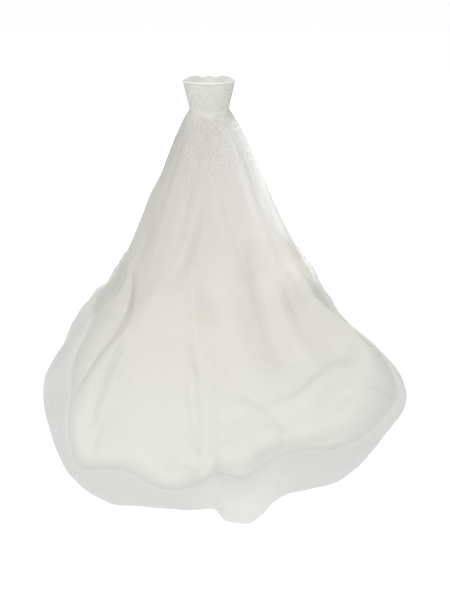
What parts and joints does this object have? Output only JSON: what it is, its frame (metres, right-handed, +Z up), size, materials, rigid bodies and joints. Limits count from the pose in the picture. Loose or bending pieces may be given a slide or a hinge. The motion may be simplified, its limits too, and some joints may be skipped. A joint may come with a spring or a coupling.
{
  "type": "strapless ball gown with train",
  "caption": "White strapless ball gown with a fitted bodice, a full gathered skirt of tulle over satin and a long train, filled out as when it is worn.",
  "frame": {"origin": "middle of the waist, where the wearer's waist holds the gown up; the floor is 1.10 m below", "axes": "+Z up through the neckline, -Y back along the train, +X toward the wearer's right"},
  "size_m": [1.8592, 2.9759, 1.2887],
  "materials": {
    "bodice_back_right_satin": "satin",
    "bodice_side_back_right_satin": "satin",
    "bodice_side_front_right_satin": "satin",
    "bodice_centre_front_satin": "satin",
    "bodice_side_front_left_satin": "satin",
    "bodice_side_back_left_satin": "satin",
    "bodice_back_left_satin": "satin",
    "bodice_insert_satin": "satin",
    "binding_back_satin": "satin",
    "binding_front_right_satin": "satin",
    "binding_front_left_satin": "satin",
    "tulle_train_right_net": "soft net",
    "tulle_side_right_net": "soft net",
    "tulle_front_net": "soft net",
    "tulle_side_left_net": "soft net",
    "tulle_train_left_net": "soft net",
    "underskirt_train_right_satin": "satin",
    "underskirt_side_right_satin": "satin",
    "underskirt_front_satin": "satin",
    "underskirt_side_left_satin": "satin",
    "underskirt_train_left_satin": "satin"
  },
  "bodies": {
    "root": {"bodice_back_right": "bodice_back_right_satin", "bodice_side_back_right": "bodice_side_back_right_satin", "bodice_side_front_right": "bodice_side_front_right_satin", "bodice_centre_front": "bodice_centre_front_satin", "bodice_side_front_left": "bodice_side_front_left_satin", "bodice_side_back_left": "bodice_side_back_left_satin", "bodice_back_left": "bodice_back_left_satin", "bodice_insert": "bodice_insert_satin", "binding_back": "binding_back_satin", "binding_front_right": "binding_front_right_satin", "binding_front_left": "binding_front_left_satin", "tulle_train_right": "tulle_train_right_net", "tulle_side_right": "tulle_side_right_net", "tulle_front": "tulle_front_net", "tulle_side_left": "tulle_side_left_net", "tulle_train_left": "tulle_train_left_net", "underskirt_train_right": "underskirt_train_right_satin", "underskirt_side_right": "underskirt_side_right_satin", "underskirt_front": "underskirt_front_satin", "underskirt_side_left": "underskirt_side_left_satin", "underskirt_train_left": "underskirt_train_left_satin"}
  },
  "joints": []
}
